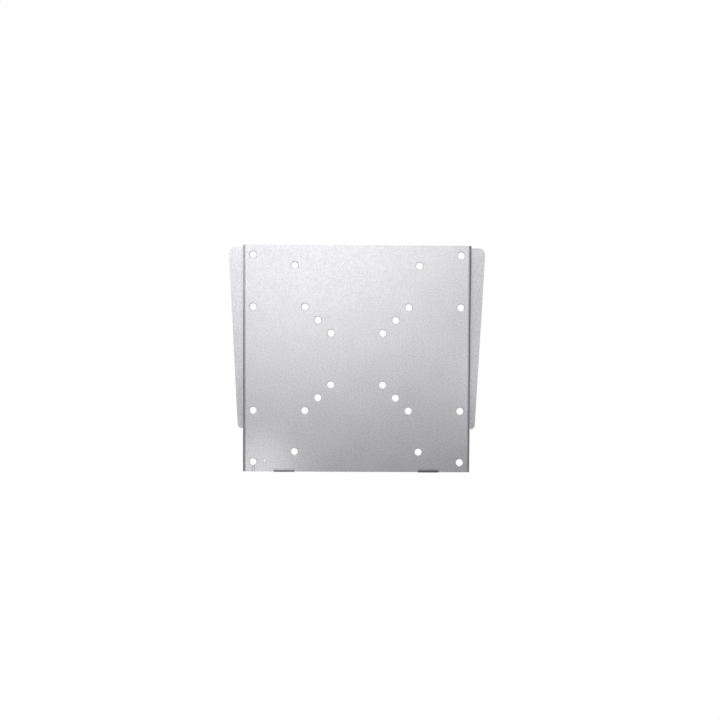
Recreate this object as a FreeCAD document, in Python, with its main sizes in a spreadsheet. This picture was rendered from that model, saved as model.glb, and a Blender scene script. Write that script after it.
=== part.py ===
import FreeCAD, Part
import Sketcher
import math
import os

# A fixed television wall mount of two folded steel sheets. The wall plate is an open frame with a tapered
# wing on each side and two cross rails folded into gutters. The front plate hangs in the gutters by hook
# fingers cut in its folded sides. Origin: centre of the four wall slots, on the wall. X right, Z up, the
# front faces -Y.
doc = FreeCAD.newDocument("tv_wall_mount")
sheet = doc.addObject("Spreadsheet::Sheet", "Sizes")

DRIVING_SIZES = [
    # Both sheets
    ("sheet_gauge", 2.0, "thickness of both steel sheets"),
    ("bend_radius", 1.0, "inside radius of every fold"),
    ("mount_depth", 20.0, "wall to the front plate's face"),
    # Front plate
    ("plate_width", 220.0, "front plate across its folded sides"),
    ("plate_height", 219.0, "front plate, top edge to bottom edge"),
    ("screw_hole", 6.8, "diameter of the 24 screw holes"),
    ("hole_rim", 0.4, "chamfer of each hole's front rim"),
    ("pattern_50", 50.0, "square screw pattern"),
    ("pattern_75", 75.0, "square screw pattern"),
    ("pattern_100", 100.0, "square screw pattern, and the wide pattern's height"),
    ("pattern_200", 200.0, "square screw pattern, and the wide pattern's width"),
    ("tall_pattern_width", 120.0, "tall screw pattern, across"),
    ("tall_pattern_height", 180.0, "tall screw pattern, up"),
    ("flange_gap", 0.7, "folded side's rear edge to the wing's face"),
    ("flange_corner", 3.0, "corner radius at the ends of the folded sides"),
    # Bottom tabs and the nuts in them
    ("tab_spacing", 140.0, "between the two tabs' middles"),
    ("tab_width", 20.0, "each tab along the edge"),
    ("tab_reach", 16.0, "front face to the tab's rear edge"),
    ("tab_sag", 0.8, "tab's underside below the plate's cut edge"),
    ("tab_corner", 3.0, "corner radius of the tab's rear edge"),
    ("lance_width", 0.2, "cut at each end of a tab's fold"),
    ("lance_height", 3.4, "height of those cuts above the plate's bottom edge"),
    ("nut_setback", 10.5, "front face to the nut's axis"),
    ("nut_shank", 6.4, "diameter of the nut's pressed-in shank"),
    ("nut_head", 9.5, "diameter of the nut's head"),
    ("nut_head_height", 3.0, "height of the nut's head"),
    ("nut_chamfer", 0.5, "chamfer round the nut's head"),
    ("nut_bore", 4.2, "core diameter of the nut's thread"),
    ("press_clearance", 0.04, "nut's shank to the tab's hole, all round"),
    # Wall plate
    ("wing_top_reach", 15.2, "wing's top past the front plate's side"),
    ("wing_bottom_reach", 6.3, "wing's bottom past the front plate's side"),
    ("wing_set_down", 1.7, "wings' top edge below the front plate's"),
    ("wing_foot", 15.6, "wings' bottom edge above the lower rail's underside"),
    ("wing_top_corner", 6.5, "radius of the wings' upper corners"),
    ("wing_bottom_corner", 4.2, "radius of the wings' lower corners"),
    ("window_inset", 4.0, "window's side inside the front plate's side"),
    ("window_corner", 3.0, "radius of the window corners"),
    ("step_corner", 2.0, "radius where the window steps out beside a gutter"),
    ("rail_height", 28.5, "each rail on the wall, underside to top edge"),
    ("rail_end", 0.5, "rail's end past the folded side"),
    ("gutter_width", 8.0, "clear width of a gutter"),
    ("lip_height", 10.0, "gutter lip above the gutter's floor"),
    ("lip_corner", 3.0, "corner radius at the ends of a lip"),
    ("relief_width", 0.7, "slit at each end of the upper gutter's fold"),
    ("relief_height", 4.5, "height of those slits"),
    # Wall slots
    ("slot_spacing_across", 140.0, "between the wall slots' middles, across"),
    ("slot_length", 30.0, "wall slot, end to end"),
    ("slot_width", 6.5, "wall slot, across"),
    ("slot_rise", 18.0, "wall slot's middle above the gutter's floor"),
    # Hooks
    ("upper_hook_inset", 52.5, "front plate's top edge to the upper fingers' tips"),
    ("lower_hook_inset", 26.5, "lower fingers' tips to the front plate's bottom edge"),
    ("hook_clearance", 0.3, "hook finger to the gutter's walls"),
    ("lift_spare", 1.0, "lift past the lip's top when unhooking"),
    ("lift_room", 0.6, "free height left below the gutter at full lift"),
    ("finger_corner", 2.0, "radius of the finger's tip"),
    ("notch_corner", 1.2, "radius of the notch's inner corners"),
]


class Size:
    """A number of the sheet, or sum of such numbers, that knows its value and its formula in the sheet."""

    def __init__(self, formula, value):
        self.formula = formula
        self.value = value

    def joined(self, sign, other, value):
        return Size(f"({self.formula} {sign} {as_size(other).formula})", value)

    def __add__(self, other):
        return self.joined("+", other, self.value + as_size(other).value)

    def __sub__(self, other):
        return self.joined("-", other, self.value - as_size(other).value)

    def __mul__(self, factor):
        return self.joined("*", factor, self.value * factor)

    def __truediv__(self, divisor):
        return self.joined("/", divisor, self.value / divisor)

    def __neg__(self):
        return Size(f"(-1 * {self.formula})", -self.value)


def as_size(number):
    return number if isinstance(number, Size) else Size(str(number), number)


class Sizes:
    """The driving sizes by name."""


size = Sizes()
for row, (alias, number, note) in enumerate(DRIVING_SIZES, start=1):
    sheet.set(f"A{row}", note)
    sheet.set(f"B{row}", str(number))
    sheet.setAlias(f"B{row}", alias)
    setattr(size, alias, Size(f"Sizes.{alias}", number))
doc.recompute()

ORIGIN = Size("0", 0.0)


# Sketches and features

def new_body(label):
    body = doc.addObject("PartDesign::Body", label)
    body.Label = label
    return body


def new_sketch(body, name, role, offset=None):
    """A sketch on one of the body's own origin planes, moved along the plane's normal by offset."""
    sketch = body.newObject("Sketcher::SketchObject", name)
    plane = next(part for part in body.Origin.OriginFeatures if part.Role == role)
    sketch.AttachmentSupport = [(plane, "")]
    sketch.MapMode = "FlatFace"
    if offset is not None:
        sketch.setExpression("AttachmentOffset.Base.z", offset.formula)
    return sketch


def place(sketch, geometry, end, across, up):
    """Tie a point of the sketch to the sheet by its distances from the sketch's origin."""
    for kind, distance in (("DistanceX", across), ("DistanceY", up)):
        index = sketch.addConstraint(Sketcher.Constraint(kind, -1, 1, geometry, end, distance.value))
        sketch.setExpression(f"Constraints[{index}]", distance.formula)


def vector(across, up):
    return FreeCAD.Vector(across.value, up.value, 0)


def add_outline(sketch, corners):
    """A closed outline of straight lines through the corners."""
    first = sketch.GeometryCount
    count = len(corners)
    for here, after in zip(corners, corners[1:] + corners[:1]):
        sketch.addGeometry(Part.LineSegment(vector(*here), vector(*after)))
    for step in range(count):
        after = first + (step + 1) % count
        sketch.addConstraint(Sketcher.Constraint("Coincident", first + step, 2, after, 1))
    for step, corner in enumerate(corners):
        place(sketch, first + step, 1, *corner)


def add_circle(sketch, across, up, diameter):
    axis = FreeCAD.Vector(0, 0, 1)
    circle = sketch.addGeometry(Part.Circle(vector(across, up), axis, diameter.value / 2))
    place(sketch, circle, 3, across, up)
    index = sketch.addConstraint(Sketcher.Constraint("Diameter", circle, diameter.value))
    sketch.setExpression(f"Constraints[{index}]", diameter.formula)


def add_half_circle(sketch, across, up, radius, start_angle):
    axis = FreeCAD.Vector(0, 0, 1)
    circle = Part.Circle(vector(across, up), axis, radius.value)
    arc = sketch.addGeometry(Part.ArcOfCircle(circle, start_angle, start_angle + math.pi))
    place(sketch, arc, 3, across, up)
    return arc


def add_slot(sketch, across, up, length, width):
    """A round-ended slot that runs across."""
    radius = width / 2
    left_middle = across - (length - width) / 2
    right_middle = across + (length - width) / 2
    left = add_half_circle(sketch, left_middle, up, radius, math.pi / 2)
    right = add_half_circle(sketch, right_middle, up, radius, -math.pi / 2)
    below = [vector(middle, up - radius) for middle in (left_middle, right_middle)]
    above = [vector(middle, up + radius) for middle in (right_middle, left_middle)]
    low = sketch.addGeometry(Part.LineSegment(*below))
    high = sketch.addGeometry(Part.LineSegment(*above))
    for joint in ((left, 2, low, 1), (low, 2, right, 1), (right, 2, high, 1), (high, 2, left, 1)):
        sketch.addConstraint(Sketcher.Constraint("Tangent", *joint))
    index = sketch.addConstraint(Sketcher.Constraint("Radius", left, radius.value))
    sketch.setExpression(f"Constraints[{index}]", radius.formula)


def add_pad(body, name, sketch, length, symmetric=False):
    pad = body.newObject("PartDesign::Pad", name)
    pad.Profile = sketch
    pad.SideType = "Symmetric" if symmetric else "One side"
    pad.setExpression("Length", length.formula)
    doc.recompute()


def add_pocket(body, name, sketch):
    """A cut right through the body, both ways from the sketch."""
    before = body.Tip.Shape.Volume
    pocket = body.newObject("PartDesign::Pocket", name)
    pocket.Profile = sketch
    pocket.SideType = "Symmetric"
    pocket.Type = "ThroughAll"
    doc.recompute()
    if not body.Tip.Shape.Volume < before:
        raise RuntimeError(f"{name} cuts nothing")


AXES = {"x": (1, 2), "y": (0, 2), "z": (0, 1)}
SAME_PLACE = 0.001


def straight_edges(shape, along, spots):
    """Names of the straight edges that run along an axis through the given spots of the plane across it."""
    first, second = AXES[along]
    found = []
    for number, edge in enumerate(shape.Edges, start=1):
        if not isinstance(edge.Curve, Part.Line):
            continue
        start, end = edge.Vertexes[0].Point, edge.Vertexes[-1].Point
        if any(abs(start[axis] - end[axis]) > SAME_PLACE for axis in (first, second)):
            continue
        for across, up in spots:
            if abs(start[first] - across.value) < SAME_PLACE and abs(start[second] - up.value) < SAME_PLACE:
                found.append(f"Edge{number}")
                break
    return found


def dress_edges(body, kind, name, edges, setting, amount):
    """A Fillet or Chamfer of the given edges, with its one setting tied to the sheet."""
    if not edges:
        raise RuntimeError(f"{name} has no edges")
    base = body.Tip
    feature = body.newObject(f"PartDesign::{kind}", name)
    feature.Base = (base, edges)
    feature.setExpression(setting, amount.formula)
    doc.recompute()


def round_edges(body, name, along, spots, radius):
    """Round the straight edges that run along an axis through the given spots."""
    dress_edges(body, "Fillet", name, straight_edges(body.Tip.Shape, along, spots), "Radius", radius)


# Places that both plates share

gauge = size.sheet_gauge
fold_outside = size.bend_radius + gauge
gutter_back = -gauge
lip_back = gutter_back - size.gutter_width
lip_front = lip_back - gauge
half_plate = size.plate_width / 2
half_height = size.plate_height / 2
rail_reach = half_plate + size.rail_end
rail_pitch = size.plate_height - size.upper_hook_inset - size.lower_hook_inset
upper_floor = rail_pitch / 2 - size.slot_rise
lower_floor = upper_floor - rail_pitch
plate_middle = upper_floor + size.upper_hook_inset - half_height
RAILS = [("upper", upper_floor), ("lower", lower_floor)]
SIDES = [("left", -1), ("right", 1)]
BOTH_WAYS = (-1, 1)


# Wall plate: one sheet with two tapered wings, a window between them, and two rails folded into gutters

wall_plate = new_body("wall_plate")
wing_top = plate_middle + half_height - size.wing_set_down
wing_bottom = lower_floor - gauge + size.wing_foot
top_reach = half_plate + size.wing_top_reach
bottom_reach = half_plate + size.wing_bottom_reach
blank = new_sketch(wall_plate, "wing_outline", "XZ_Plane")
add_outline(blank, [(-bottom_reach, wing_bottom), (bottom_reach, wing_bottom),
                    (top_reach, wing_top), (-top_reach, wing_top)])
add_pad(wall_plate, "wing_sheet", blank, gauge)
wing_top_corners = [(-top_reach, wing_top), (top_reach, wing_top)]
wing_bottom_corners = [(-bottom_reach, wing_bottom), (bottom_reach, wing_bottom)]
round_edges(wall_plate, "wing_top_corners", "y", wing_top_corners, size.wing_top_corner)
round_edges(wall_plate, "wing_bottom_corners", "y", wing_bottom_corners, size.wing_bottom_corner)

# Each rail lies on the wall, turns forward along its lower edge and up again in front
for rail, floor in RAILS:
    underside = floor - gauge
    rail_top = underside + size.rail_height
    lip_top = floor + size.lip_height
    profile = new_sketch(wall_plate, f"{rail}_rail_profile", "YZ_Plane")
    add_outline(profile, [(ORIGIN, underside), (lip_front, underside), (lip_front, lip_top),
                          (lip_back, lip_top), (lip_back, floor), (gutter_back, floor),
                          (gutter_back, rail_top), (ORIGIN, rail_top)])
    add_pad(wall_plate, f"{rail}_rail", profile, rail_reach * 2, symmetric=True)

# The window between the rails steps out beside the upper gutter, whose ends are cut from the wings
half_window = half_plate - size.window_inset
relief_reach = rail_reach + size.relief_width
upper_underside = upper_floor - gauge
gutter_blank = upper_underside - size.gutter_width - size.lip_height - gauge * 2
relief_top = upper_underside + size.relief_height
lower_rail_top = lower_floor - gauge + size.rail_height
upper_rail_top = upper_underside + size.rail_height
window_right = [(half_window, lower_rail_top), (half_window, gutter_blank), (relief_reach, gutter_blank),
                (relief_reach, relief_top), (rail_reach, relief_top), (rail_reach, upper_underside)]
window_left = [(-across, up) for across, up in reversed(window_right)]
window = new_sketch(wall_plate, "window_outline", "XZ_Plane")
add_outline(window, window_right + window_left)
add_pocket(wall_plate, "window", window)

past_the_top = wing_top + gauge
head_gap = new_sketch(wall_plate, "head_gap_outline", "XZ_Plane")
add_outline(head_gap, [(-half_window, upper_rail_top), (half_window, upper_rail_top),
                       (half_window, past_the_top), (-half_window, past_the_top)])
add_pocket(wall_plate, "head_gap", head_gap)

slots = new_sketch(wall_plate, "wall_slot_outlines", "XZ_Plane")
for sign in BOTH_WAYS:
    for rail, floor in RAILS:
        across = size.slot_spacing_across / 2 * sign
        add_slot(slots, across, floor + size.slot_rise, size.slot_length, size.slot_width)
add_pocket(wall_plate, "wall_slots", slots)

window_corners = []
step_corners = []
lip_corners = []
inner_folds = []
outer_folds = []
for sign in BOTH_WAYS:
    window_corners += [(half_window * sign, up) for up in (lower_rail_top, upper_rail_top, wing_top)]
    step_corners += [(half_window * sign, gutter_blank), (relief_reach * sign, gutter_blank)]
for rail, floor in RAILS:
    inner_folds += [(lip_back, floor), (gutter_back, floor)]
    outer_folds += [(lip_front, floor - gauge), (ORIGIN, floor - gauge)]
    lip_corners += [(rail_reach * sign, floor + size.lip_height) for sign in BOTH_WAYS]
round_edges(wall_plate, "window_corners", "y", window_corners, size.window_corner)
round_edges(wall_plate, "step_corners", "y", step_corners, size.step_corner)
round_edges(wall_plate, "lip_corners", "y", lip_corners, size.lip_corner)
round_edges(wall_plate, "inner_folds", "x", inner_folds, size.bend_radius)
round_edges(wall_plate, "outer_folds", "x", outer_folds, fold_outside)


# Front plate: one sheet folded back along both sides, in its own frame about the screw patterns' centre

front_plate = new_body("front_plate")
front_plate.setExpression("Placement.Base.z", plate_middle.formula)
front = -size.mount_depth
plate_back = front + gauge
flange_back = gutter_back - size.flange_gap
flange_inside = half_plate - gauge
channel = new_sketch(front_plate, "channel_profile", "XY_Plane")
channel_right = [(half_plate, front), (half_plate, flange_back), (flange_inside, flange_back),
                 (flange_inside, plate_back)]
add_outline(channel, channel_right + [(-across, up) for across, up in reversed(channel_right)])
add_pad(front_plate, "channel", channel, size.plate_height, symmetric=True)

# Each notch leaves a finger that points down behind the lip, and room to lift the finger over it
finger_front = lip_back + size.hook_clearance
notch_front = lip_front - size.hook_clearance
hook_lift = size.lip_height + size.lift_spare
finger_tips = []
notch_corners = []
for rail, floor in RAILS:
    tip = floor - plate_middle
    notch_top = tip + size.lip_height + size.lift_room
    notch_bottom = tip - gauge - hook_lift - size.lift_room
    notch = new_sketch(front_plate, f"{rail}_notch_outline", "YZ_Plane")
    add_outline(notch, [(ORIGIN, tip), (finger_front, tip), (finger_front, notch_top),
                        (notch_front, notch_top), (notch_front, notch_bottom), (ORIGIN, notch_bottom)])
    add_pocket(front_plate, f"{rail}_notches", notch)
    finger_tips += [(finger_front, tip), (flange_back, tip)]
    notch_corners += [(finger_front, notch_top), (notch_front, notch_top), (notch_front, notch_bottom),
                      (flange_back, notch_bottom)]
flange_ends = [(flange_back, half_height), (flange_back, -half_height)]
round_edges(front_plate, "finger_tips", "x", finger_tips, size.finger_corner)
round_edges(front_plate, "notch_corners", "x", notch_corners, size.notch_corner)
round_edges(front_plate, "flange_ends", "x", flange_ends, size.flange_corner)

# Two tabs are lanced free at the bottom edge and folded back
tab_underside = -half_height - size.tab_sag
tab_top = tab_underside + gauge
tab_rear = front + size.tab_reach
lance_top = -half_height + size.lance_height
tab_side = size.tab_width / 2
lance_side = tab_side + size.lance_width
tab_ends = []
for side, sign in SIDES:
    middle = size.tab_spacing / 2 * sign
    gap = new_sketch(front_plate, f"{side}_tab_gap_outline", "XZ_Plane")
    add_outline(gap, [(middle - lance_side, tab_underside), (middle + lance_side, tab_underside),
                      (middle + lance_side, lance_top), (middle - lance_side, lance_top)])
    add_pocket(front_plate, f"{side}_tab_gap", gap)
    tab = new_sketch(front_plate, f"{side}_tab_profile", "YZ_Plane", middle)
    add_outline(tab, [(front, lance_top), (front, tab_underside), (tab_rear, tab_underside),
                      (tab_rear, tab_top), (plate_back, tab_top), (plate_back, lance_top)])
    add_pad(front_plate, f"{side}_tab", tab, size.tab_width, symmetric=True)
    tab_ends += [(middle - tab_side, tab_rear), (middle + tab_side, tab_rear)]
round_edges(front_plate, "tab_ends", "z", tab_ends, size.tab_corner)

inner_sides = [(-flange_inside, plate_back), (flange_inside, plate_back)]
outer_sides = [(-half_plate, front), (half_plate, front)]
round_edges(front_plate, "inner_side_folds", "z", inner_sides, size.bend_radius)
round_edges(front_plate, "outer_side_folds", "z", outer_sides, fold_outside)
round_edges(front_plate, "inner_tab_folds", "x", [(plate_back, tab_top)], size.bend_radius)
round_edges(front_plate, "outer_tab_folds", "x", [(front, tab_underside)], fold_outside)

nut_axis = front + size.nut_setback
nut_seats = new_sketch(front_plate, "nut_seat_outlines", "XY_Plane")
for sign in BOTH_WAYS:
    add_circle(nut_seats, size.tab_spacing / 2 * sign, nut_axis, size.nut_shank)
add_pocket(front_plate, "nut_seats", nut_seats)

# Six screw patterns about one centre
SCREW_PATTERNS = [
    (size.pattern_50, size.pattern_50),
    (size.pattern_75, size.pattern_75),
    (size.pattern_100, size.pattern_100),
    (size.pattern_200, size.pattern_100),
    (size.pattern_200, size.pattern_200),
    (size.tall_pattern_width, size.tall_pattern_height),
]
screw_holes = new_sketch(front_plate, "screw_hole_outlines", "XZ_Plane")
for pattern_width, pattern_height in SCREW_PATTERNS:
    for across_sign in BOTH_WAYS:
        for up_sign in BOTH_WAYS:
            across = pattern_width / 2 * across_sign
            add_circle(screw_holes, across, pattern_height / 2 * up_sign, size.screw_hole)
add_pocket(front_plate, "screw_holes", screw_holes)

rims = []
for number, edge in enumerate(front_plate.Tip.Shape.Edges, start=1):
    if isinstance(edge.Curve, Part.Circle) and edge.Closed:
        if abs(edge.Curve.Center.y - front.value) < SAME_PLACE:
            rims.append(f"Edge{number}")
dress_edges(front_plate, "Chamfer", "hole_rims", rims, "Size", size.hole_rim)


# Clinch nuts: turned, with a shank pressed into the tab from above

nuts = []
for side, sign in SIDES:
    nut = new_body(f"lock_nut_{side}")
    nut.setExpression("Placement.Base.x", (size.tab_spacing / 2 * sign).formula)
    nut.setExpression("Placement.Base.y", nut_axis.formula)
    nut.setExpression("Placement.Base.z", (plate_middle + tab_top).formula)
    bore = size.nut_bore / 2
    shank = size.nut_shank / 2 - size.press_clearance
    head = size.nut_head / 2
    profile = new_sketch(nut, f"{side}_nut_profile", "XZ_Plane")
    add_outline(profile, [(bore, -gauge), (shank, -gauge), (shank, ORIGIN), (head, ORIGIN),
                          (head, size.nut_head_height - size.nut_chamfer),
                          (head - size.nut_chamfer, size.nut_head_height), (bore, size.nut_head_height)])
    turned = nut.newObject("PartDesign::Revolution", f"{side}_nut_turned")
    turned.Profile = profile
    turned.ReferenceAxis = (profile, ["V_Axis"])
    turned.Angle = 360
    nuts.append(nut)


# Write the pieces out once the whole document is sound

doc.recompute()
for item in doc.Objects:
    if "Invalid" in item.State or "Error" in item.State:
        raise RuntimeError(f"{item.Label} is not built: {item.State}")
os.makedirs("parts", exist_ok=True)
for piece in [wall_plate, front_plate] + nuts:
    if piece.Shape.isNull() or not piece.Shape.isValid():
        raise RuntimeError(f"{piece.Label} has no valid shape")
for piece in [wall_plate, front_plate] + nuts:
    solids = len(piece.Shape.Solids)
    print(piece.Label, "solids", solids, "volume cm3", round(piece.Shape.Volume / 1000, 2))
    piece.Shape.exportStep(f"parts/{piece.Label}.step")
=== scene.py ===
import bmesh
import bpy
import math
from mathutils import Euler, Matrix, Vector


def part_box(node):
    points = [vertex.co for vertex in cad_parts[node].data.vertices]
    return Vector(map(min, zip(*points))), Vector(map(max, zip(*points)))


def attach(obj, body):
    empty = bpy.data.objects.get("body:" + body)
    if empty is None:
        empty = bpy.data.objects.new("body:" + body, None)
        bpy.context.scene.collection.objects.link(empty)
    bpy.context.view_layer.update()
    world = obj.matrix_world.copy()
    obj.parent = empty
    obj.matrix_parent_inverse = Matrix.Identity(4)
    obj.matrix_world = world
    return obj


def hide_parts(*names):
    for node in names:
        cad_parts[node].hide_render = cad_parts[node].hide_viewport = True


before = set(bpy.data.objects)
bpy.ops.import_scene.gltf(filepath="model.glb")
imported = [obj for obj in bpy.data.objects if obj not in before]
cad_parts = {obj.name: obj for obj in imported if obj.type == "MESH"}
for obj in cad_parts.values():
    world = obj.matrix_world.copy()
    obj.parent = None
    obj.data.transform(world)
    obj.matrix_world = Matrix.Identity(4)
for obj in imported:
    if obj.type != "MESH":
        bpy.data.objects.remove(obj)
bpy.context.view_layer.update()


# Wall plate
# One sheet of 2 mm steel, blanked as an open frame with a tapered wing on each side. Its two cross rails
# are folded into gutters, and slots in them take the wall screws. It is powder coated after folding, which
# leaves every cut edge a little round.
MM = 0.001
WELD_DISTANCE = 0.001 * MM
FLAT_ANGLE = math.radians(0.2)
CUT_EDGE_ANGLE = math.radians(60)
CUT_EDGE_RADIUS = 0.4 * MM
RIM_ANGLE = math.radians(25)
RIM_RADIUS = 0.13 * MM
ROUND_STEPS = 3
ROUND_PROFILE = 0.5
CREASE_ANGLE = math.radians(35)
# Painted shade on folds, cut edges and hole rims: how far a face turns for its full share, and the rims'
# shares.
FULLY_TURNED = math.cos(math.radians(28))
WALL_LEAN = 0.1
SHORT_FACE = 3.0 * MM
RIM_SHARE = 0.25
UNDERSIDE_SHARE = 1.4


def add_object(name, data):
    thing = bpy.data.objects.new(name, data)
    bpy.context.scene.collection.objects.link(thing)
    return thing


def made_plain(thing):
    """Swap an object's mesh for the result of its modifiers, and take the modifiers off."""
    evaluated = thing.evaluated_get(bpy.context.evaluated_depsgraph_get())
    result = bpy.data.meshes.new_from_object(evaluated)
    result.name = thing.name
    thing.modifiers.clear()
    thing.data = result


def coated_sheet(node, name, finish):
    """A copy of a folded sheet with soft edges and its finish.

    Its turned attribute is painted shade: 1 halfway round a fold or an edge, where the colour darkens.
    A hole's rim has less of it, except where it faces down.
    """
    sheet = bmesh.new()
    sheet.from_mesh(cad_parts[node].data)
    bmesh.ops.remove_doubles(sheet, verts=sheet.verts, dist=WELD_DISTANCE)
    bmesh.ops.dissolve_limit(sheet, angle_limit=FLAT_ANGLE, verts=sheet.verts, edges=sheet.edges)
    angles = {edge: edge.calc_face_angle() for edge in sheet.edges if edge.is_convex}
    cut_edges = [edge for edge, angle in angles.items() if angle > CUT_EDGE_ANGLE]
    rims = [edge for edge, angle in angles.items() if RIM_ANGLE < angle <= CUT_EDGE_ANGLE]
    for edges, radius in ((cut_edges, CUT_EDGE_RADIUS), (rims, RIM_RADIUS)):
        bmesh.ops.bevel(sheet, geom=edges, offset=radius, offset_type="OFFSET", segments=ROUND_STEPS,
                        profile=ROUND_PROFILE, affect="EDGES", clamp_overlap=True)
    sheet.normal_update()
    # Painted shade: faces turned round a fold or an edge, and rims that face down, get a share of darker
    # colour.
    turned = sheet.faces.layers.float.new("turned")
    for face in sheet.faces:
        face.smooth = True
        if abs(face.normal.y) > WALL_LEAN:
            share = min(1.0, (1 - max(abs(part) for part in face.normal)) / (1 - FULLY_TURNED))
            if max(edge.calc_length() for edge in face.edges) < SHORT_FACE:
                share *= max(RIM_SHARE, -UNDERSIDE_SHARE * face.normal.z)
            face[turned] = share
    for edge in sheet.edges:
        edge.smooth = not edge.is_manifold or edge.calc_face_angle() < CREASE_ANGLE
    mesh = bpy.data.meshes.new(name)
    sheet.to_mesh(mesh)
    sheet.free()
    mesh.materials.append(finish)
    piece = add_object(name, mesh)
    smoothing = piece.modifiers.new("flat faces stay flat", "WEIGHTED_NORMAL")
    smoothing.keep_sharp = True
    made_plain(piece)
    return piece


class Shade:
    """An output socket in a node tree. Sums and products of shades add Math nodes."""

    def __init__(self, tree, socket=None):
        self.tree = tree
        self.socket = socket

    def node(self, kind, settings, inputs, output=0):
        """Add a node, set it up, then fill its input sockets with plain values or with other shades."""
        node = self.tree.nodes.new(kind)
        for name, value in settings.items():
            setattr(node, name, value)
        for key, value in inputs.items():
            if isinstance(value, Shade):
                self.tree.links.new(value.socket, node.inputs[key])
            else:
                node.inputs[key].default_value = value
        return Shade(self.tree, node.outputs[output])

    def maths(self, operation, *values):
        return self.node("ShaderNodeMath", {"operation": operation}, dict(enumerate(values)))

    def __add__(self, other):
        return self.maths("ADD", self, other)

    def __sub__(self, other):
        return self.maths("SUBTRACT", self, other)

    def __rsub__(self, other):
        return self.maths("SUBTRACT", other, self)

    def __mul__(self, other):
        return self.maths("MULTIPLY", self, other)

    def __truediv__(self, other):
        return self.maths("DIVIDE", self, other)

    def __rtruediv__(self, other):
        return self.maths("DIVIDE", other, self)

    __radd__ = __add__
    __rmul__ = __mul__

    def noise(self, where, scale, detail=2.0):
        return self.node("ShaderNodeTexNoise", {}, {"Vector": where, "Scale": scale, "Detail": detail})

    def step(self, value, low, high):
        """0 below low, 1 above high, smooth between."""
        return self.node("ShaderNodeMapRange", {"interpolation_type": "SMOOTHSTEP"},
                         {"Value": value, "From Min": low, "From Max": high})

    def mix(self, share, first, second):
        """A blend of two colours."""
        return self.node("ShaderNodeMix", {"data_type": "RGBA"},
                         {"Factor": share, "A": first, "B": second}, "Result")


def new_material(name):
    material = bpy.data.materials.new(name)
    material.use_nodes = True
    return material


def finish_metal(material, metallic, colour, roughness, normal):
    """Set how metallic a material is, and link what changes over its surface."""
    surface = material.node_tree.nodes["Principled BSDF"]
    surface.inputs["Metallic"].default_value = metallic
    for key, value in (("Base Color", colour), ("Roughness", roughness), ("Normal", normal)):
        material.node_tree.links.new(value.socket, surface.inputs[key])


COAT_LIGHT = (0.66, 0.657, 0.684, 1.0)
COAT_DARK = (0.49, 0.488, 0.510, 1.0)
# Painted shade: the colour that folds, cut edges and hole rims are darkened towards.
FOLD_SHADE_COLOUR = (0.22, 0.219, 0.229, 1.0)
FOLD_SHADE_STRENGTH = 0.8
COAT_METALLIC = 0.8
COAT_ROUGHNESS = 0.34
NOISE_MIDDLE = 0.5
FLAKES_PER_METRE = 650.0
FLAKE_CONTRAST = 2.0
FLAKE_RELIEF = 0.4
FLAKE_ROUGHNESS = 0.1
CLOUDS_PER_METRE = 38.0
CLOUD_CONTRAST = 0.35
PEEL_PER_METRE = 520.0
PEEL_DETAIL = 1.0
PEEL_HEIGHT = 0.012 * MM
PEEL_ROUGHNESS = 0.12


def silver_coat(name, marks=None):
    """Silver-grey metallic powder coat: fine flakes, faint clouds and orange peel; painted shade on folds
    and edges.
    """
    material = new_material(name)
    shade = Shade(material.node_tree)
    where = shade.node("ShaderNodeTexCoord", {}, {}, "Object")
    flakes = shade.noise(where, FLAKES_PER_METRE)
    clouds = shade.noise(where, CLOUDS_PER_METRE)
    peel = shade.noise(where, PEEL_PER_METRE, PEEL_DETAIL)
    turned = shade.node("ShaderNodeAttribute", {"attribute_name": "turned"}, {}, "Fac")
    flake_tone = (flakes - NOISE_MIDDLE) * FLAKE_CONTRAST
    cloud_tone = (clouds - NOISE_MIDDLE) * CLOUD_CONTRAST
    flat_colour = shade.mix(flake_tone + cloud_tone + NOISE_MIDDLE, COAT_DARK, COAT_LIGHT)
    # Painted shade round folds, edges and downward-facing rims.
    colour = shade.mix(turned * FOLD_SHADE_STRENGTH, flat_colour, FOLD_SHADE_COLOUR)
    if marks:
        colour = marks(shade, where, colour)
    relief = peel + flakes * FLAKE_RELIEF
    bump = shade.node("ShaderNodeBump", {}, {"Height": relief, "Distance": PEEL_HEIGHT}, "Normal")
    peel_rough = (peel - NOISE_MIDDLE) * PEEL_ROUGHNESS
    flake_rough = (flakes - NOISE_MIDDLE) * FLAKE_ROUGHNESS
    finish_metal(material, COAT_METALLIC, colour, COAT_ROUGHNESS + peel_rough + flake_rough, bump)
    return material


wall_plate = coated_sheet("wall_plate", "wall_plate_coated", silver_coat("silver_coat"))
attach(wall_plate, "wall_plate")
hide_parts("wall_plate")


# Front plate
# The plate that the television is screwed to: the same coated sheet, punched with six screw patterns. Its
# sides are folded back and cut into hook fingers that drop into the gutters, and two tabs are folded back
# below. A pale dot and two dark streaks are painted at the lower left, and painted shade darkens the
# right tab's fold.
front_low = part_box("front_plate")[0]
right_nut_low, right_nut_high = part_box("lock_nut_right")
# A pale dot and two dark streaks at the lower left, painted in the colour:
PALE_DOT_X = front_low.x + 21.3 * MM
PALE_DOT_Z = front_low.z + 11.4 * MM
PALE_DOT_RADIUS = 1.1 * MM
PALE_DOT_COLOUR = (0.95, 0.95, 0.96, 1.0)
STREAK_X = front_low.x + 10.3 * MM
STREAK_SPACING = 2.0 * MM
STREAK_TOP = front_low.z + 7.4 * MM
STREAK_FADE = 1.0 * MM
STREAK_HALF_WIDTH = 0.55 * MM
STREAK_COLOUR = (0.30, 0.30, 0.30, 1.0)
STREAK_STRENGTH = 0.85
MARK_CORE = 0.4
MARK_DEPTH = 0.5 * MM
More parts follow.
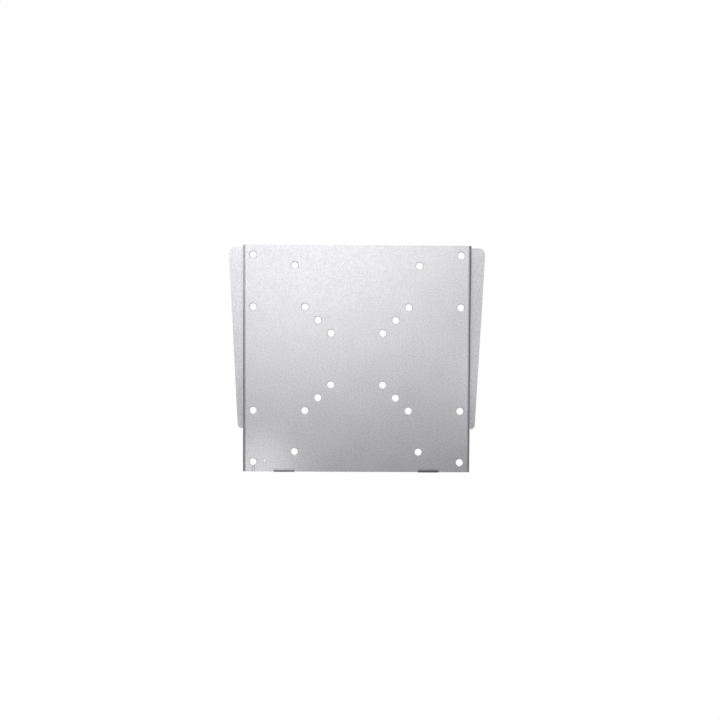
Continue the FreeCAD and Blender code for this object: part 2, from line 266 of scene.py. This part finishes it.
# Painted shade on the right tab's fold:
DARK_FOLD_X = (right_nut_low.x + right_nut_high.x) / 2
DARK_FOLD_INSIDE = 8.5 * MM
DARK_FOLD_OUTSIDE = 11.5 * MM
DARK_FOLD_FULL = front_low.z + 0.8 * MM
DARK_FOLD_TOP = front_low.z + 5.0 * MM
DARK_FOLD_DEPTH = 3.5 * MM
DARK_FOLD_FULL_DEPTH = DARK_FOLD_DEPTH / 3
TAB_SHADE_COLOUR = (0.10, 0.10, 0.105, 1.0)
TAB_SHADE_STRENGTH = 0.8


def front_marks(shade, where, colour):
    """A pale dot and two dark streaks on the front face, and painted shade on the right tab's fold."""
    place = shade.node("ShaderNodeSeparateXYZ", {}, {"Vector": where})
    across, depth, up = (Shade(place.tree, socket) for socket in place.socket.node.outputs)
    front = 1 - shade.step(depth, front_low.y, front_low.y + MARK_DEPTH)
    # Two dark streaks and a pale dot, painted on the front face only.
    off_streaks = shade.maths("ABSOLUTE", across - STREAK_X)
    off_streak = shade.maths("ABSOLUTE", off_streaks - STREAK_SPACING / 2)
    streak = 1 - shade.step(off_streak, STREAK_HALF_WIDTH * MARK_CORE, STREAK_HALF_WIDTH)
    below = 1 - shade.step(up, STREAK_TOP - STREAK_FADE, STREAK_TOP)
    streaked = shade.mix(front * streak * below * STREAK_STRENGTH, colour, STREAK_COLOUR)
    off_x = across - PALE_DOT_X
    off_z = up - PALE_DOT_Z
    off_dot = shade.maths("SQRT", off_x * off_x + off_z * off_z)
    pale_dot = 1 - shade.step(off_dot, PALE_DOT_RADIUS * MARK_CORE, PALE_DOT_RADIUS)
    dotted = shade.mix(front * pale_dot, streaked, PALE_DOT_COLOUR)
    # Painted shade: the right tab's fold is darkened towards a dark grey.
    off_tab = shade.maths("ABSOLUTE", across - DARK_FOLD_X)
    over_tab = 1 - shade.step(off_tab, DARK_FOLD_INSIDE, DARK_FOLD_OUTSIDE)
    low = 1 - shade.step(up, DARK_FOLD_FULL, DARK_FOLD_TOP)
    near = 1 - shade.step(depth, front_low.y + DARK_FOLD_FULL_DEPTH, front_low.y + DARK_FOLD_DEPTH)
    return shade.mix(over_tab * low * near * TAB_SHADE_STRENGTH, dotted, TAB_SHADE_COLOUR)


marked_coat = silver_coat("silver_coat_marked", front_marks)
front_plate = coated_sheet("front_plate", "front_plate_coated", marked_coat)
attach(front_plate, "front_plate")
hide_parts("front_plate")


# Clinch nuts
# Two turned steel nuts, zinc plated, pressed into the bottom tabs from above. Their shank ends flush with
# the tab's underside, and the thread right through them takes the locking screws.
nut_low, nut_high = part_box("lock_nut_left")
NUT_COUNT = 2
NUT_SPACING = right_nut_low.x - nut_low.x
NUT_HEIGHT = nut_high.z - nut_low.z
HEAD_RADIUS = (nut_high.x - nut_low.x) / 2
SHANK_RADIUS = 3.16 * MM
SHANK_HEIGHT = 2.0 * MM
CORE_RADIUS = 2.1 * MM
BORE_TOLERANCE = 0.02 * MM
THREAD_PITCH = 0.8 * MM
THREAD_DEPTH = 0.42 * MM
THREAD_RUNOUT = 0.7 * MM
THREAD_ROWS = 60
NUT_EDGE = 0.35 * MM
NUT_SIDES = 64


def turned_nut(name):
    """The nut's outline spun round its axis, with a plain bore in fine rows."""
    base = nut_low.z
    top = nut_high.z
    shoulder = base + SHANK_HEIGHT
    outline = [
        (CORE_RADIUS + NUT_EDGE, base),
        (SHANK_RADIUS - NUT_EDGE / 2, base),
        (SHANK_RADIUS, base + NUT_EDGE / 2),
        (SHANK_RADIUS, shoulder),
        (HEAD_RADIUS - NUT_EDGE / 2, shoulder),
        (HEAD_RADIUS, shoulder + NUT_EDGE / 2),
        (HEAD_RADIUS, top - NUT_EDGE),
        (HEAD_RADIUS - NUT_EDGE, top),
        (CORE_RADIUS + NUT_EDGE, top),
    ]
    bore_top = top - NUT_EDGE
    row_height = (NUT_HEIGHT - 2 * NUT_EDGE) / THREAD_ROWS
    outline += [(CORE_RADIUS, bore_top - row_height * row) for row in range(THREAD_ROWS + 1)]
    nut = bmesh.new()
    points = [nut.verts.new((radius, 0, height)) for radius, height in outline]
    lines = [nut.edges.new(pair) for pair in zip(points, points[1:] + points[:1])]
    bmesh.ops.spin(nut, geom=points + lines, axis=(0, 0, 1), cent=(0, 0, 0), angle=math.tau,
                   steps=NUT_SIDES, use_merge=True)
    bmesh.ops.remove_doubles(nut, verts=nut.verts, dist=WELD_DISTANCE)
    bmesh.ops.recalc_face_normals(nut, faces=nut.faces)
    for face in nut.faces:
        face.smooth = True
    for edge in nut.edges:
        edge.smooth = edge.calc_face_angle() < CREASE_ANGLE
    mesh = bpy.data.meshes.new(name)
    nut.to_mesh(mesh)
    nut.free()
    return add_object(name, mesh)


def nut_maker():
    """Nodes that cut a thread in the nut's bore and set a copy of the nut at each end of the spacing."""
    tree = bpy.data.node_groups.new("threaded_nuts", "GeometryNodeTree")
    inputs = {"Nut": "Geometry", "Core Radius": "Float", "Pitch": "Float", "Depth": "Float",
              "Bottom": "Float", "Top": "Float", "Runout": "Float", "Middle": "Vector",
              "Spacing": "Float", "Finish": "Material"}
    for label, kind in inputs.items():
        tree.interface.new_socket(label, in_out="INPUT", socket_type="NodeSocket" + kind)
    tree.interface.new_socket("Nuts", in_out="OUTPUT", socket_type="NodeSocketGeometry")
    given = tree.nodes.new("NodeGroupInput").outputs
    nut, core, pitch, depth, bottom, top, runout, middle, spacing, finish = (
        Shade(tree, given[label]) for label in inputs)
    position = nut.node("GeometryNodeInputPosition", {}, {})
    parts = nut.node("ShaderNodeSeparateXYZ", {}, {"Vector": position}).socket.node.outputs
    across, along, up = (Shade(tree, socket) for socket in parts)
    radius = nut.maths("SQRT", across * across + along * along)
    turn = nut.maths("ARCTAN2", along, across) / math.tau
    phase = nut.maths("FRACT", up / pitch - turn)
    groove = 1 - nut.maths("ABSOLUTE", phase * 2 - 1)
    inside = nut.maths("MINIMUM", up - bottom, top - up) / runout
    fade = nut.node("ShaderNodeClamp", {}, {"Value": inside})
    bored = nut.maths("COMPARE", radius, core, BORE_TOLERANCE)
    outward = nut.node("ShaderNodeCombineXYZ", {}, {"X": across / radius, "Y": along / radius})
    shift = nut.node("ShaderNodeVectorMath", {"operation": "SCALE"},
                     {"Vector": outward, "Scale": groove * depth * fade * bored})
    threaded = nut.node("GeometryNodeSetPosition", {}, {"Geometry": nut, "Offset": shift})
    start = nut.node("ShaderNodeCombineXYZ", {}, {"X": spacing / -2})
    stride = nut.node("ShaderNodeCombineXYZ", {}, {"X": spacing})
    row = nut.node("GeometryNodeMeshLine", {},
                   {"Count": NUT_COUNT, "Start Location": start, "Offset": stride})
    placed = nut.node("GeometryNodeSetPosition", {}, {"Geometry": row, "Offset": middle})
    copies = nut.node("GeometryNodeInstanceOnPoints", {}, {"Points": placed, "Instance": threaded})
    whole = nut.node("GeometryNodeRealizeInstances", {}, {"Geometry": copies})
    finished = nut.node("GeometryNodeSetMaterial", {}, {"Geometry": whole, "Material": finish})
    out = tree.nodes.new("NodeGroupOutput")
    tree.links.new(finished.socket, out.inputs[0])
    return tree


ZINC_LIGHT = (0.72, 0.73, 0.75, 1.0)
ZINC_DARK = (0.55, 0.56, 0.59, 1.0)
ZINC_METALLIC = 1.0
ZINC_ROUGHNESS = 0.3
ZINC_ROUGHNESS_SPREAD = 0.15
ZINC_CLOUDS_PER_METRE = 700.0
ZINC_CLOUD_CONTRAST = 1.2
TOOL_LINES_PER_METRE = 9000.0
TOOL_LINE_STRETCH = (0.1, 0.1, 1.0)
TOOL_LINE_HEIGHT = 0.01 * MM


def zinc_plate():
    """Bright zinc on turned steel: fine tool lines round the axis and a faint cloud of passivation."""
    material = new_material("zinc_steel")
    shade = Shade(material.node_tree)
    where = shade.node("ShaderNodeTexCoord", {}, {}, "Object")
    round_axis = shade.node("ShaderNodeMapping", {}, {"Vector": where, "Scale": TOOL_LINE_STRETCH})
    lines = shade.noise(round_axis, TOOL_LINES_PER_METRE)
    clouds = shade.noise(where, ZINC_CLOUDS_PER_METRE)
    tone = (clouds - NOISE_MIDDLE) * ZINC_CLOUD_CONTRAST + NOISE_MIDDLE
    colour = shade.mix(tone, ZINC_DARK, ZINC_LIGHT)
    bump = shade.node("ShaderNodeBump", {}, {"Height": lines, "Distance": TOOL_LINE_HEIGHT}, "Normal")
    line_rough = (lines - NOISE_MIDDLE) * ZINC_ROUGHNESS_SPREAD
    cloud_rough = (clouds - NOISE_MIDDLE) * ZINC_ROUGHNESS_SPREAD
    finish_metal(material, ZINC_METALLIC, colour, ZINC_ROUGHNESS + line_rough + cloud_rough, bump)
    return material


lock_nuts = turned_nut("lock_nuts")
nut_modifier = lock_nuts.modifiers.new("threaded nuts", "NODES")
nut_modifier.node_group = nut_maker()
nut_middle = (nut_low + nut_high) / 2
nut_inputs = {
    "Core Radius": CORE_RADIUS,
    "Pitch": THREAD_PITCH,
    "Depth": THREAD_DEPTH,
    "Bottom": nut_low.z + NUT_EDGE,
    "Top": nut_high.z - NUT_EDGE,
    "Runout": THREAD_RUNOUT,
    "Middle": Vector((nut_middle.x + NUT_SPACING / 2, nut_middle.y, 0)),
    "Spacing": NUT_SPACING,
    "Finish": zinc_plate(),
}
for item in nut_modifier.node_group.interface.items_tree:
    if item.name in nut_inputs:
        nut_modifier[item.identifier] = nut_inputs[item.name]
made_plain(lock_nuts)
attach(lock_nuts, "front_plate")
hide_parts("lock_nut_left", "lock_nut_right")


# Studio
# A pale matte floor, and white paper behind the mount that fills the camera's view. A large soft lamp
# stands over the camera, with more above, left, right and at the back left, and two small gridded cards
# lift the right wing and the plate's lower left corner. The room is dark in front and light overhead.
FLOOR_HEIGHT = -1.7
FLOOR_COLOUR = (0.76, 0.76, 0.76, 1.0)
FLOOR_ROUGHNESS = 0.9
STAGE_HALF_WIDTH = 10.0
FLOOR_FRONT = -4.5
PAPER_DEPTH = 3.5
PAPER_HEIGHT = 8.0
PAPER_WHITE = (1.0, 1.0, 1.0, 1.0)
ROOM_FRONT = (0.09, 0.09, 0.10, 1.0)
ROOM_SIDES = (0.20, 0.20, 0.208, 1.0)
CEILING = (0.85, 0.85, 0.885, 1.0)
FRONT_SIDE = Vector((0.05, -1.0, -0.15)).normalized()
FRONT_FROM = math.cos(math.radians(58))
FRONT_TO = math.cos(math.radians(15))
CEILING_FROM = 0.15
CEILING_TO = 0.85


def floor_paint():
    """Pale matte paint."""
    material = new_material("floor_paint")
    surface = material.node_tree.nodes["Principled BSDF"]
    surface.inputs["Base Color"].default_value = FLOOR_COLOUR
    surface.inputs["Roughness"].default_value = FLOOR_ROUGHNESS
    return material


def white_paper():
    """Paper that the camera, and anything glossy or clear, sees as plain white."""
    material = new_material("white_paper")
    tree = material.node_tree
    shade = Shade(tree)
    matte = tree.nodes["Principled BSDF"]
    matte.inputs["Base Color"].default_value = FLOOR_COLOUR
    rays = tree.nodes.new("ShaderNodeLightPath").outputs
    seen = shade.maths("MAXIMUM", Shade(tree, rays["Is Camera Ray"]), Shade(tree, rays["Is Glossy Ray"]))
    seen = shade.maths("MAXIMUM", seen, Shade(tree, rays["Is Transmission Ray"]))
    white = shade.node("ShaderNodeEmission", {}, {"Color": PAPER_WHITE, "Strength": 1.0})
    matte_side = Shade(tree, matte.outputs["BSDF"])
    paper = shade.node("ShaderNodeMixShader", {}, {0: seen, 1: matte_side, 2: white})
    tree.links.new(paper.socket, tree.nodes["Material Output"].inputs["Surface"])
    return material


def add_sheet(name, corners, material):
    """A flat sheet of the stage."""
    mesh = bpy.data.meshes.new(name)
    mesh.from_pydata(corners, [], [range(len(corners))])
    mesh.materials.append(material)
    add_object(name, mesh)


def stage_line(depth, height):
    """The left and right ends of a line across the stage."""
    return [(-STAGE_HALF_WIDTH, depth, height), (STAGE_HALF_WIDTH, depth, height)]


paper_foot = stage_line(PAPER_DEPTH, FLOOR_HEIGHT)
paper_head = stage_line(PAPER_DEPTH, PAPER_HEIGHT)
floor_front = stage_line(FLOOR_FRONT, FLOOR_HEIGHT)
add_sheet("floor", paper_foot + floor_front[::-1], floor_paint())
add_sheet("white_paper", paper_foot + paper_head[::-1], white_paper())

world = bpy.data.worlds.new("studio")
bpy.context.scene.world = world
world.use_nodes = True
room = Shade(world.node_tree)
direction = room.node("ShaderNodeTexCoord", {}, {}, "Generated")
frontward = room.node("ShaderNodeVectorMath", {"operation": "DOT_PRODUCT"},
                      {0: direction, 1: FRONT_SIDE}, "Value")
upward = room.node("ShaderNodeSeparateXYZ", {}, {"Vector": direction}, "Z")
walls = room.mix(room.step(frontward, FRONT_FROM, FRONT_TO), ROOM_SIDES, ROOM_FRONT)
room_colour = room.mix(room.step(upward, CEILING_FROM, CEILING_TO), walls, CEILING)
world.node_tree.links.new(room_colour.socket, world.node_tree.nodes["Background"].inputs["Color"])

PATTERN_HEIGHT = -5.0 * MM
pattern_middle = Vector((0, front_low.y, PATTERN_HEIGHT))
LAMP_COLOUR = (1.0, 0.995, 0.975)
OPEN_BEAM = 180.0
# Each row: name, place, aim, width in metres, watts, and the beam in degrees, which a grid narrows.
LAMPS = (
    ("key_lamp", (-0.10, -1.5, 0.32), pattern_middle, 1.0, 5.9, OPEN_BEAM),
    ("top_lamp", (-0.05, -0.15, 1.4), pattern_middle, 0.8, 4.0, OPEN_BEAM),
    ("left_lamp", (-1.1, -0.9, 0.38), pattern_middle, 0.9, 5.0, OPEN_BEAM),
    ("right_lamp", (1.1, -0.9, 0.10), pattern_middle, 0.9, 1.6, OPEN_BEAM),
    ("back_left_lamp", (-1.09, 0.45, 0.17), (-0.11, -0.02, 0.08), 0.3, 1.5, OPEN_BEAM),
    ("right_card", (0.19, -0.30, -0.05), (0.135, 0.0, -0.03), 0.12, 0.0014, 35.0),
    ("corner_card", (-0.104, -0.14, -0.137), (-0.104, 0.0, -0.137), 0.08, 0.0038, 90.0),
)
for name, place, aim, width, watts, beam in LAMPS:
    light = bpy.data.lights.new(name, "AREA")
    light.shape = "DISK"
    light.size = width
    light.energy = watts
    light.color = LAMP_COLOUR
    light.spread = math.radians(beam)
    lamp = add_object(name, light)
    lamp.location = place
    lamp.rotation_euler = (Vector(aim) - Vector(place)).to_track_quat("-Z", "Y").to_euler()
    lamp.visible_camera = False

bpy.context.scene.view_settings.view_transform = "Standard"


# Camera
# It stands about 1.2 m in front of the plate, a little above the screw patterns' centre, and looks
# slightly down. Its focal length is given in pixels of a square picture.
SENSOR = 36.0
IMAGE_SIZE = 720
FOCAL_PIXELS = 1245.6
CAMERA_ASIDE = -0.0054
CAMERA_DISTANCE = 1.2
CAMERA_RISE = 0.067
CAMERA_YAW = math.radians(0.409)
CAMERA_PITCH = math.radians(-3.234)
CAMERA_ROLL = math.radians(0.317)
lens = bpy.data.cameras.new("camera")
lens.sensor_width = SENSOR
lens.lens = FOCAL_PIXELS / IMAGE_SIZE * SENSOR
camera = add_object("camera", lens)
aimed = Euler((math.pi / 2 + CAMERA_PITCH, 0, -CAMERA_YAW)).to_matrix()
rolled = aimed @ Matrix.Rotation(CAMERA_ROLL, 3, "Z")
camera_place = pattern_middle + Vector((CAMERA_ASIDE, -CAMERA_DISTANCE, CAMERA_RISE))
camera.matrix_world = Matrix.Translation(camera_place) @ rolled.to_4x4()
bpy.context.scene.camera = camera
